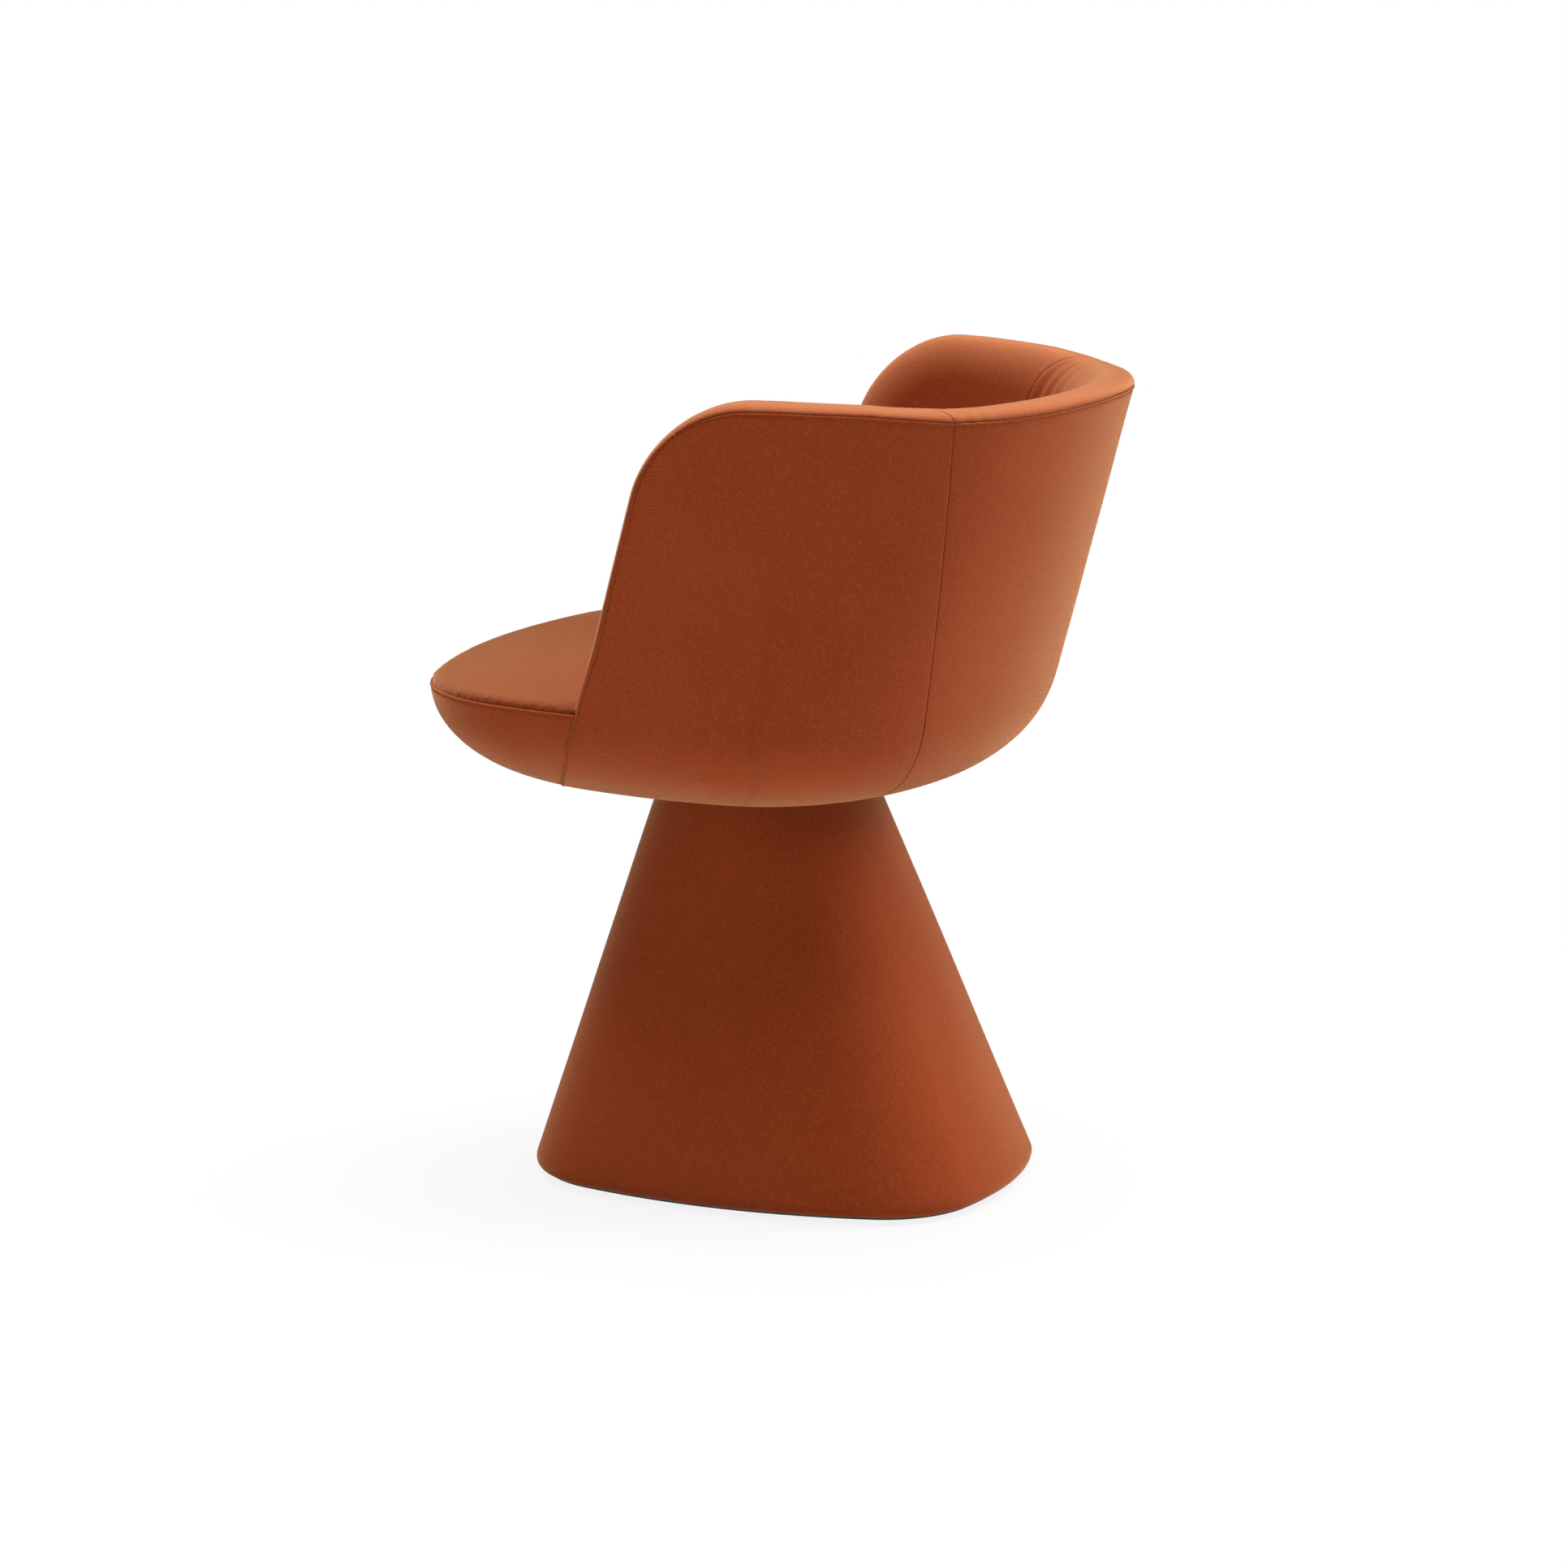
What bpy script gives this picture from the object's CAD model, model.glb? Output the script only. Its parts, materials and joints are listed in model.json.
import json
import math
import bpy
import bmesh
import numpy as np
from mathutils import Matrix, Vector


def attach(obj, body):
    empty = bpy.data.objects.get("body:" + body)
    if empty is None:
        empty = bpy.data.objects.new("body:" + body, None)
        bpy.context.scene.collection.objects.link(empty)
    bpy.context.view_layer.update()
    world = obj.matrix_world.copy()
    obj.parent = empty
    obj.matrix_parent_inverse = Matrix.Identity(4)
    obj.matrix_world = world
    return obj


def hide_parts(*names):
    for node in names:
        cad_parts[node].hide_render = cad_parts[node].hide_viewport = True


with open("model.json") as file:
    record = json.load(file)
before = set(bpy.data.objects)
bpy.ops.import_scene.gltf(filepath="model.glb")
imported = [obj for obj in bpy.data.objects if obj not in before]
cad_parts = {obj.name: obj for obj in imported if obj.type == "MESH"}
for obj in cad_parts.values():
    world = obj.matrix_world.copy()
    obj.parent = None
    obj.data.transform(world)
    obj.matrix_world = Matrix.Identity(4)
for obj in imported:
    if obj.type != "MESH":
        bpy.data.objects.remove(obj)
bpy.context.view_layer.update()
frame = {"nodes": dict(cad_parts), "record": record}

scene = bpy.context.scene
scene.view_settings.view_transform = "Standard"

# Outlines seen from above, in millimetres:
# half width, reach to the front, reach to the rear, y of the widest place, front and rear corner radius
seatOutline = np.array([287.0, 315.0, 202.5, 20.0, 156.0, 215.0])
rimOutline = np.array([279.0, 288.0, 299.5, -7.0, 150.0, 205.0])
footOutline = np.array([170.0, 221.0, 221.0, -8.0, 98.0, 98.0])
neckOutline = np.array([100.0, 89.5, 89.5, -25.0, 84.0, 84.0])

tub = {
    "seatEdge": 453.0,       # height of the seam round the seat
    "wallHeight": 255.0,
    "armTop": 719.0,
    "wallAtSeat": 56.0,      # padded wall, thick at the seat and thinner at the rim
    "wallAtRim": 46.0,
    "thinFrom": 430.0,       # height where the wall starts to get thinner
    "thinSpan": 270.0,
    "bowlDepth": 92.5,
    "bowlSpan": 205.0,       # length of the bowl's curve from flat bottom to seat edge
    "bowlFlat": 126.0 / 287.0,
    "bowlLean": 20.0,        # how far down the wall's slope carries on into the bowl
    "bowlFullness": 0.9,
    "turnUnder": -186.0,     # where the covers turn under the bowl
    "centreY": -8.0,
    "swivelY": -20.0,
    "frontTurn": 15.0,       # degrees that the flatter arcs of an outline turn
    "rearTurn": 25.0,
}


def outlinePoint(outline, theta, inset=0.0, rearTurn=None):
    # theta is the direction the skin faces: 0 back, 90 the sitter's left, 180 front
    halfWidth, front, rear, widestY, frontCorner, rearCorner = outline
    theta = (theta + 180.0) % 360.0 - 180.0
    hand = 1.0 if theta >= 0 else -1.0
    behind = abs(theta) <= 90.0
    heading = math.radians(abs(theta) if behind else 180.0 - abs(theta))
    reach, corner = (rear, rearCorner) if behind else (front, frontCorner)
    turn = math.radians((rearTurn or tub["rearTurn"]) if behind else tub["frontTurn"])
    near, far = math.sin(turn), math.cos(turn)
    wide = halfWidth - corner * (far - near)
    deep = reach - corner * (far - near)
    scale = near * near - (1 - far) ** 2
    endRadius = (wide * near - deep * (1 - far)) / scale
    sideRadius = (deep * near - wide * (1 - far)) / scale
    if heading <= turn:
        cx, cy, radius = 0.0, reach - endRadius, endRadius
    elif heading <= math.pi / 2 - turn:
        cx, cy, radius = (endRadius - corner) * near, reach - endRadius + (endRadius - corner) * far, corner
    else:
        cx, cy, radius = halfWidth - sideRadius, 0.0, sideRadius
    x = cx + (radius - inset) * math.sin(heading)
    y = cy + (radius - inset) * math.cos(heading)
    return hand * x, widestY + (y if behind else -y)


def wallOutline(z):
    return seatOutline + (rimOutline - seatOutline) * (z - tub["seatEdge"]) / tub["wallHeight"]


def wallThickness(z):
    share = min(max((z - tub["thinFrom"]) / tub["thinSpan"], 0.0), 1.0)
    return tub["wallAtSeat"] + (tub["wallAtRim"] - tub["wallAtSeat"]) * share


def wallPoint(theta, z, inset=0.0):
    return (*outlinePoint(wallOutline(z), theta, inset), z)


def innerPoint(theta, z):
    return wallPoint(theta, z, wallThickness(z))


def skinPoint(theta, v):
    # v runs up the outside: below 0 it follows the bowl, above 0 the wall
    if v >= 0:
        return wallPoint(theta, tub["seatEdge"] + v)
    angle = (1 + v / tub["bowlSpan"]) * math.pi / 2
    below = tub["bowlDepth"] * math.cos(angle)
    share = tub["bowlFlat"] + (1 - tub["bowlFlat"]) * max(math.sin(angle), 0.0) ** tub["bowlFullness"]
    lean = tub["bowlLean"] * (1 - math.exp(-below / tub["bowlLean"]))
    x, y = outlinePoint(wallOutline(tub["seatEdge"] - lean), theta)
    return x * share, tub["centreY"] + (y - tub["centreY"]) * share, tub["seatEdge"] - below


def hubPoint(x, y, radius):
    # on a ring round the swivel, in line with (x, y)
    heading = math.atan2(x, y - tub["swivelY"])
    return np.array([radius * math.sin(heading), tub["swivelY"] + radius * math.cos(heading)])


def solveTheta(test, low, high):
    # test falls as theta grows
    for _ in range(40):
        middle = (low + high) / 2
        if test(middle) > 0:
            low = middle
        else:
            high = middle
    return (low + high) / 2


def thetaAtY(place, level, y):
    return solveTheta(lambda theta: place(theta, level)[1] - y, 20.0, 170.0)


# The corner seam wanders forward as it goes over the rim and down the inside:
# its direction from the bowl's middle, by distance in from the outer skin
cornerSeam = {
    "inward": [0, 22, 32, 46, 54, 70, 90, 150, 300],
    "angle": [41.5, 43.3, 45, 47.2, 48.3, 50, 52, 55, 60],
}


def thetaAtCorner(place, level, inward=0.0):
    wanted = float(np.interp(inward, cornerSeam["inward"], cornerSeam["angle"]))

    def left(theta):
        x, y, _ = place(theta, level)
        return wanted - math.degrees(math.atan2(x, y - tub["centreY"]))

    return solveTheta(left, 2.0, 88.0)


def packed(length, fine=0.45, coarse=3.2, growth=1.3):
    # shares from 0 to 1 along a length in mm, close together at both ends
    half, step = [0.0], fine
    while half[-1] + 1.5 * step < length / 2:
        half.append(half[-1] + step)
        step = min(step * growth, coarse)
    half = np.array(half)
    return np.concatenate([half, length - half[::-1]]) / length


# The free edge of the shell: up the arm front, round its top corner, then along the rim
armEdge = {
    "frontY": -88.5,
    "slope": 68.0 / 255.0,
    "across": 81.0,          # corner, along the rim
    "up": 80.0,              # corner, along the arm front
    "shrink": 0.78,
    "foot": 453.4,
    "seamAtFoot": 3.2,       # the seam's distance from the edge, where the roll narrows at the foot
    "narrowing": 0.35,       # share of the arm front over which it narrows
}


def edgePoint(q, e):
    # q 0 to 1 is the arm front, 1 to 2 the corner; e is the distance in from the edge
    lean = math.atan(armEdge["slope"])
    top = tub["armTop"] - e
    across = armEdge["across"] - armEdge["shrink"] * e
    up = armEdge["up"] - armEdge["shrink"] * e
    start = top - up

    def lineY(z):
        return armEdge["frontY"] + armEdge["slope"] * (z - tub["seatEdge"]) + e / math.cos(lean)

    if q <= 1.0:
        z = armEdge["foot"] + (start - armEdge["foot"]) * q
        return lineY(z), z
    angle = (q - 1.0) * math.pi / 2
    y = lineY(start) + armEdge["slope"] * up * math.sin(angle) + across * (1 - math.cos(angle))
    return y, start + up * math.sin(angle)


# Heights of the rim's crest and of the seam outside it, by direction
rimLine = {
    "theta": [0, 10, 20, 34, 45, 60, 68, 76, 90],
    "crest": [713.5, 712.5, 711.3, 710.5, 711, 714, 716.5, 718.5, 719],
    "seam": [704, 703, 701.2, 700.5, 701.5, 706.8, 709.4, 711.2, 711.5],
}


def crestAt(theta):
    return float(np.interp(abs(theta), rimLine["theta"], rimLine["crest"]))


def dropAt(theta):
    return crestAt(theta) - float(np.interp(abs(theta), rimLine["theta"], rimLine["seam"]))


def frontDrop(q):
    share = min(q / armEdge["narrowing"], 1.0)
    return armEdge["seamAtFoot"] + (dropAt(90) - armEdge["seamAtFoot"]) * share ** 2 * (3 - 2 * share)


def edgeTheta(q, e, n, inward=0.0):
    # direction and height on the wall, at depth n below its outer skin
    def place(theta, level):
        return wallPoint(theta, level, n)

    y, z = edgePoint(min(q, 2.0), e)
    first = thetaAtY(place, z, y)
    if q <= 2.0:
        return first, z
    last = thetaAtCorner(place, crestAt(45.0) - e, inward)
    theta = first + (last - first) * (q - 2.0)
    start = z + e - crestAt(first)
    return theta, crestAt(theta) - e + start * (3.0 - q) ** 4


roll = {"crest": 22.0, "innerDrop": 38.0, "usualDrop": 8.0, "outerSteps": 12, "innerSteps": 12}


def rollSection(drop, thickness):
    # (e, n, inward) from the outer seam over the crest to where the inner face begins
    section = []
    for step in range(roll["outerSteps"] + 1):
        angle = math.pi / 2 * step / roll["outerSteps"]
        n = roll["crest"] * (1 - math.cos(angle))
        section.append((drop * (1 - math.sin(angle)), n, n))
    for step in range(1, roll["innerSteps"] + 1):
        angle = math.pi / 2 * step / roll["innerSteps"]
        e = roll["innerDrop"] * (1 - math.cos(angle))
        n = roll["crest"] + (thickness - roll["crest"]) * math.sin(angle)
        section.append((e, n, n + e))
    return section


# how tightly the cover is bent, across the roll
rollBend = np.concatenate([
    np.sin(np.linspace(0, np.pi / 2, roll["outerSteps"] + 1)) ** 0.5,
    np.cos(np.linspace(0, np.pi / 2, roll["innerSteps"] + 1)[1:]),
])


# Meshes from grids of points

def gridNormals(points):
    alongU = np.gradient(points, axis=0)
    alongV = np.gradient(points, axis=1)
    normal = np.cross(alongU, alongV)
    return normal / np.maximum(np.linalg.norm(normal, axis=2, keepdims=True), 1e-9)


def facing(points, direction):
    # 1 where the grid's own normals point that way, else -1
    normals = gridNormals(points)
    middle = normals[points.shape[0] // 2, points.shape[1] // 2]
    return 1.0 if float(middle @ np.array(direction, float)) > 0 else -1.0


def lineLengths(points, axis):
    steps = np.linalg.norm(np.diff(points, axis=axis), axis=2)
    pad = [(1, 0), (0, 0)] if axis == 0 else [(0, 0), (1, 0)]
    return np.pad(np.cumsum(steps, axis=axis), pad)


def edgeDistances(points):
    u, v = lineLengths(points, 0), lineLengths(points, 1)
    return {"uMin": u, "uMax": u[-1:, :] - u, "vMin": v, "vMax": v[:, -1:] - v}


# How a cover's edge goes down into its seam: depth and width of the turn
seamKinds = {"plain": (1.1, 1.8), "rolled": (1.3, 3.0), "stitched": (1.2, 1.2)}
topstitch = {
    "line": 3.0,             # distance of the stitches from the edge
    "ridge": 0.4,
    "groove": 0.55,
    "grooveWidth": 0.8,
    "gathers": 0.22,
    "gatherReach": 7.0,
    "waves": [(1.0, 0.57, 0.0), (0.7, 0.83, 1.3)],
}


def tuckEdges(points, outward, edges):
    away = edgeDistances(points)
    sink = np.zeros(points.shape[:2])
    for side, kind in edges.items():
        depth, width = seamKinds[kind]
        distance = away[side]
        inside = np.clip(1 - distance / width, 0.0, 1.0)
        sink += depth * (1 - np.sqrt(1 - inside ** 2))
        if kind == "stitched":
            beside = np.clip(distance / topstitch["line"], 0, 1)
            sink -= topstitch["ridge"] * np.sin(np.pi * beside)
            off = (distance - topstitch["line"]) / topstitch["grooveWidth"]
            sink += topstitch["groove"] * np.exp(-off ** 2)
            along = lineLengths(points, 1 if side[0] == "u" else 0)
            wave = sum(size * np.sin(along * rate + start) for size, rate, start in topstitch["waves"])
            sink += topstitch["gathers"] * wave * beside * np.exp(-distance / topstitch["gatherReach"])
    return points - gridNormals(points) * outward * sink[..., None]


def gridFaces(rows, columns, offset=0, flip=False):
    faces = []
    for i in range(rows - 1):
        for j in range(columns - 1):
            a = offset + i * columns + j
            quad = (a, a + columns, a + columns + 1, a + 1)
            faces.append(quad[::-1] if flip else quad)
    return faces


def setWeave(mesh, uv):
    # the cloth's own directions, in mm
    corners = np.zeros(len(mesh.loops), np.int32)
    mesh.loops.foreach_get("vertex_index", corners)
    layer = mesh.uv_layers.new(name="weave")
    layer.data.foreach_set("uv", np.asarray(uv, float)[corners].ravel())


def newObject(name, points, faces, uv=None, bend=None):
    mesh = bpy.data.meshes.new(name)
    mesh.from_pydata([tuple(p) for p in np.asarray(points) / 1000.0], [], faces)
    if uv is not None:
        setWeave(mesh, uv)
    if bend is not None:
        tightness = mesh.attributes.new("bend", "FLOAT", "POINT")
        tightness.data.foreach_set("value", np.asarray(bend, float).ravel())
    mesh.update()
    piece = bpy.data.objects.new(name, mesh)
    scene.collection.objects.link(piece)
    return piece


def applyModifiers(piece):
    deps = bpy.context.evaluated_depsgraph_get()
    done = bpy.data.meshes.new_from_object(piece.evaluated_get(deps))
    piece.modifiers.clear()
    piece.data = done
    return piece


def shadeSmooth(piece):
    piece.data.polygons.foreach_set("use_smooth", np.ones(len(piece.data.polygons), bool))
    return piece


def weld(piece, distance=0.00005):
    mesh = bmesh.new()
    mesh.from_mesh(piece.data)
    bmesh.ops.remove_doubles(mesh, verts=mesh.verts, dist=distance)
    bmesh.ops.recalc_face_normals(mesh, faces=mesh.faces)
    mesh.to_mesh(piece.data)
    mesh.free()
    return piece


def thicken(piece, thickness):
    solidify = piece.modifiers.new("cloth", "SOLIDIFY")
    solidify.thickness = thickness / 1000.0
    solidify.offset = -1.0
    return applyModifiers(piece)


def mirrored(points):
    other = np.array(points, float)
    other[..., 0] *= -1
    return other


def patch(place, bottom, top, front, rear, across, upward):
    # a four-sided patch, blended between its border lines in (theta, height)
    grid = np.zeros((len(across), len(upward), 3))
    for i, a in enumerate(across):
        for j, b in enumerate(upward):
            flat = ((1 - b) * bottom[i] + b * top[i] + (1 - a) * front[j] + a * rear[j]
                    - (1 - a) * (1 - b) * bottom[0] - a * (1 - b) * bottom[-1]
                    - (1 - a) * b * top[0] - a * b * top[-1])
            grid[i, j] = place(flat[0], flat[1])
    return grid


def runLength(points):
    return np.concatenate([[0.0], np.cumsum(np.linalg.norm(np.diff(points, axis=0), axis=1))])


def evenly(place, line, shares):
    # points of a border line at shares of its real length
    length = runLength([place(*spot) for spot in line])
    wanted = np.asarray(shares) * length[-1]
    return np.stack([np.interp(wanted, length, [spot[k] for spot in line]) for k in (0, 1)], axis=1)


# Finishes

def nodeTree(name):
    material = bpy.data.materials.new(name)
    material.use_nodes = True
    tree = material.node_tree
    return material, tree, tree.nodes["Principled BSDF"]


def addNode(tree, kind, **values):
    node = tree.nodes.new(kind)
    for key, value in values.items():
        if key in node.inputs:
            node.inputs[key].default_value = value
        else:
            setattr(node, key, value)
    return node


def feed(tree, socket, value):
    # a plain value is set on the socket, an output is linked to it
    if isinstance(value, (int, float, tuple)):
        socket.default_value = value
    else:
        tree.links.new(value, socket)


def mathNode(tree, operation, first, second=None):
    node = addNode(tree, "ShaderNodeMath", operation=operation)
    feed(tree, node.inputs[0], first)
    if second is not None:
        feed(tree, node.inputs[1], second)
    return node.outputs[0]


def times(tree, first, second):
    return mathNode(tree, "MULTIPLY", first, second)


def weighed(tree, *parts):
    # a sum of values, each times its share
    total = None
    for value, share in parts:
        part = times(tree, value, share)
        total = part if total is None else mathNode(tree, "ADD", total, part)
    return total


def mixColour(tree, share, first, second):
    node = addNode(tree, "ShaderNodeMix", data_type="RGBA")
    for index, value in ((0, share), (6, first), (7, second)):
        feed(tree, node.inputs[index], value)
    return node.outputs[2]


def rampNode(tree, value, low, high):
    node = tree.nodes.new("ShaderNodeMapRange")
    node.inputs["From Min"].default_value = low
    node.inputs["From Max"].default_value = high
    tree.links.new(value, node.inputs["Value"])
    return node.outputs["Result"]


def objectPlace(tree):
    return tree.nodes.new("ShaderNodeTexCoord").outputs["Object"]


def noiseNode(tree, vector, scale, detail, roughness=0.5):
    node = addNode(tree, "ShaderNodeTexNoise", Scale=scale, Detail=detail, Roughness=roughness)
    tree.links.new(vector, node.inputs["Vector"])
    return node.outputs[0]


def addBump(tree, shader, height, strength, depth):
    bump = addNode(tree, "ShaderNodeBump", Strength=strength, Distance=depth)
    tree.links.new(height, bump.inputs["Height"])
    tree.links.new(bump.outputs[0], shader.inputs["Normal"])


twill = {
    "rib": 2.8,                              # mm from one twill rib to the next, along a yarn
    "yarns": 1.5,                            # crossing yarns to each rib
    "wobble": 1.3,                           # mm that the ribs wander
    "fleckScale": 800.0,
    "napScale": 420.0,
    "cloudScale": 9.0,
    "dark": (0.235, 0.0300, 0.0050, 1.0),
    "body": (0.370, 0.0580, 0.0105, 1.0),
    "light": (0.480, 0.1000, 0.0260, 1.0),
    "cloudShare": 0.14,
    "opened": (0.390, 0.1350, 0.0540, 1.0),  # on a tight bend the nap opens and looks paler
    "openedShare": 0.7,
    "fuzz": (1.0, 0.57, 0.27, 1.0),
    "sheen": 0.78,
    "sheenRoughness": 0.36,
    "roughness": 0.92,
    "bump": 0.5,
    "bumpDepth": 0.0006,
}
seatTwill = {
    **twill,                                 # cut the other way of the nap, so it looks deeper
    "dark": (0.145, 0.0180, 0.0030, 1.0),
    "body": (0.235, 0.0370, 0.0055, 1.0),
    "light": (0.320, 0.0680, 0.0150, 1.0),
    "sheen": 1.0,
}
dullShine = 0.15             # specular level of cloth and thread


def fabricFinish(name, look):
    material, tree, shader = nodeTree(name)
    uv = addNode(tree, "ShaderNodeUVMap", uv_map="weave").outputs[0]
    axes = tree.nodes.new("ShaderNodeSeparateXYZ")
    tree.links.new(uv, axes.inputs[0])
    across, up = axes.outputs[0], axes.outputs[1]
    place = objectPlace(tree)
    fleck = noiseNode(tree, place, look["fleckScale"], 2.0, 0.7)
    nap = noiseNode(tree, place, look["napScale"], 3.0, 0.7)
    cloud = noiseNode(tree, place, look["cloudScale"], 3.0)
    uneven = mathNode(tree, "SUBTRACT", noiseNode(tree, uv, 0.18, 3.0, 0.6), 0.5)
    shift = times(tree, uneven, look["wobble"])
    rising = mathNode(tree, "ADD", mathNode(tree, "SUBTRACT", across, up), shift)
    falling = mathNode(tree, "ADD", mathNode(tree, "ADD", across, up), shift)
    turn = 2 * math.pi / look["rib"]
    rib = mathNode(tree, "SINE", times(tree, rising, turn))
    yarn = mathNode(tree, "SINE", times(tree, falling, turn * look["yarns"]))
    weave = weighed(tree, (rib, 0.6), (times(tree, rib, yarn), 0.4))
    worn = weighed(tree, (weave, 0.32), (fleck, 1.1))
    colour = mixColour(tree, rampNode(tree, worn, 0.1, 0.95), look["dark"], look["body"])
    colour = mixColour(tree, rampNode(tree, nap, 0.5, 0.95), colour, look["light"])
    cloudy = times(tree, rampNode(tree, cloud, 0.35, 0.75), look["cloudShare"])
    colour = mixColour(tree, cloudy, colour, look["light"])
    bend = addNode(tree, "ShaderNodeAttribute", attribute_name="bend").outputs["Fac"]
    colour = mixColour(tree, times(tree, bend, look["openedShare"]), colour, look["opened"])
    tree.links.new(colour, shader.inputs["Base Color"])
    rough = mathNode(tree, "ADD", times(tree, nap, 0.12), look["roughness"] - 0.08)
    tree.links.new(rough, shader.inputs["Roughness"])
    height = weighed(tree, (weave, 0.35), (nap, 0.9), (fleck, 0.6))
    addBump(tree, shader, height, look["bump"], look["bumpDepth"])
    shader.inputs["Specular IOR Level"].default_value = dullShine
    shader.inputs["Sheen Weight"].default_value = look["sheen"]
    shader.inputs["Sheen Roughness"].default_value = look["sheenRoughness"]
    shader.inputs["Sheen Tint"].default_value = look["fuzz"]
    return material


thread = {"colour": (0.27, 0.036, 0.009, 1.0), "light": (0.36, 0.056, 0.015, 1.0), "roughness": 0.8}
hole = {"colour": (0.045, 0.0065, 0.002, 1.0), "light": (0.075, 0.011, 0.0035, 1.0), "roughness": 0.95}


def threadFinish(name, look):
    material, tree, shader = nodeTree(name)
    twist = noiseNode(tree, objectPlace(tree), 1400.0, 2.0)
    tree.links.new(mixColour(tree, twist, look["colour"], look["light"]), shader.inputs["Base Color"])
    addBump(tree, shader, twist, 0.4, 0.0003)
    shader.inputs["Roughness"].default_value = look["roughness"]
    shader.inputs["Specular IOR Level"].default_value = dullShine
    return material


# base colour, second colour, roughness, metal share, grain scale, bump
hardFinishes = {
    "lining": ((0.020, 0.019, 0.018, 1.0), (0.045, 0.043, 0.041, 1.0), 0.95, 0.0, 700.0, 0.5),
    "foam": ((0.72, 0.64, 0.44, 1.0), (0.80, 0.73, 0.55, 1.0), 0.95, 0.0, 420.0, 0.6),
    "webbing": ((0.030, 0.030, 0.032, 1.0), (0.07, 0.07, 0.072, 1.0), 0.85, 0.0, 500.0, 0.5),
    "plywood": ((0.45, 0.28, 0.14, 1.0), (0.60, 0.41, 0.23, 1.0), 0.6, 0.0, 60.0, 0.2),
    "black_steel": ((0.012, 0.012, 0.013, 1.0), (0.030, 0.030, 0.031, 1.0), 0.5, 0.0, 380.0, 0.15),
    "bright_steel": ((0.50, 0.50, 0.51, 1.0), (0.62, 0.62, 0.62, 1.0), 0.3, 1.0, 240.0, 0.05),
    "zinc_fastener": ((0.58, 0.58, 0.55, 1.0), (0.70, 0.70, 0.68, 1.0), 0.38, 1.0, 300.0, 0.08),
    "nylon": ((0.020, 0.020, 0.020, 1.0), (0.036, 0.036, 0.036, 1.0), 0.55, 0.0, 320.0, 0.1),
}


def hardFinish(slot, look):
    base, second, roughness, metal, grainScale, bump = look
    material, tree, shader = nodeTree(slot + "Finish")
    stretch = tree.nodes.new("ShaderNodeMapping")
    if slot in ("plywood", "bright_steel"):
        stretch.inputs["Scale"].default_value = (1.0, 1.0, 0.12)   # grain drawn out upward
    tree.links.new(objectPlace(tree), stretch.inputs["Vector"])
    grain = noiseNode(tree, stretch.outputs[0], grainScale, 4.0, 0.65)
    colour = mixColour(tree, rampNode(tree, grain, 0.3, 0.7), base, second)
    tree.links.new(colour, shader.inputs["Base Color"])
    rough = mathNode(tree, "ADD", times(tree, grain, 0.2), roughness - 0.1)
    tree.links.new(rough, shader.inputs["Roughness"])
    addBump(tree, shader, grain, bump, 0.0004)
    shader.inputs["Metallic"].default_value = metal
    return material


fabric = fabricFinish("terracottaTwill", twill)
seatFabric = fabricFinish("terracottaTwillSeat", seatTwill)
sewingThread = threadFinish("sewingThread", thread)
needleHole = threadFinish("needleHole", hole)
finishes = {slot: hardFinish(slot, look) for slot, look in hardFinishes.items()}
for row in frame["record"]["subparts"]:
    node = frame["nodes"][row["node"]]
    node.data.materials.clear()
    node.data.materials.append(finishes.get(row["material_slot"], fabric))
print("finishes:", 4 + len(finishes))


def dress(piece, material, body, slot, *nodes):
    piece.data.materials.clear()
    piece.data.materials.append(material)
    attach(piece, body)
    if nodes:
        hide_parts(*nodes)
    return piece


def naturalFall(points, strength, scale, seed):
    # the slight unevenness of fabric over foam
    flat = points.reshape(-1, 3)
    wave = np.zeros(len(flat))
    rng = np.random.default_rng(seed)
    for _ in range(6):
        direction = rng.normal(size=3)
        direction *= 2 * np.pi / (scale * rng.uniform(0.7, 1.6) * np.linalg.norm(direction))
        wave += np.sin(flat @ direction + rng.uniform(0, 2 * np.pi))
    return (strength * wave / 6).reshape(points.shape[:2])


def coverSkin(grid, outward, edges, look):
    # a grid with its edges sewn in and its surface a little uneven
    fall = naturalFall(grid, look["unevenness"], look["wave"], look["seed"])
    return tuckEdges(grid, outward, edges) + gridNormals(grid) * outward * fall[..., None]


def panelObject(name, points, outward, uv, thickness=2.2, bend=None):
    faces = gridFaces(*points.shape[:2], 0, outward < 0)
    piece = newObject(name, points.reshape(-1, 3), faces, uv.reshape(-1, 2), bend)
    return shadeSmooth(thicken(piece, thickness))


def gridWeave(points):
    u, v = lineLengths(points, 0), lineLengths(points, 1)
    return np.stack([u - u[len(u) // 2], v], axis=2)


def sewPanel(name, skin, outward, grid, *nodes, bend=None):
    piece = panelObject(name, skin, outward, gridWeave(grid), bend=bend)
    dress(piece, fabric, "seat", "fabric_cover", *nodes)
    print(name + ":", len(piece.data.vertices), "points")


# Outer side panels
sidePanel = {
    "width": 340.0,
    "height": 470.0,
    "seamHeight": [362.0, 385.0, 397.0, 412.0, 430.0, 453.0],
    "seamForward": [66.0, 38.0, 27.0, 17.5, 9.0, 0.0],   # how far forward the border seam goes
    "unevenness": 0.35,
    "wave": 120.0,
    "seed": 3,
}


def borderTheta(v):
    # where the seam between side panel and front border lies on the bowl
    footY = edgePoint(0.0, frontDrop(0.0))[0]
    forward = np.interp(skinPoint(90.0, v)[2], sidePanel["seamHeight"], sidePanel["seamForward"])
    return thetaAtY(skinPoint, v, footY - forward)


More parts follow.
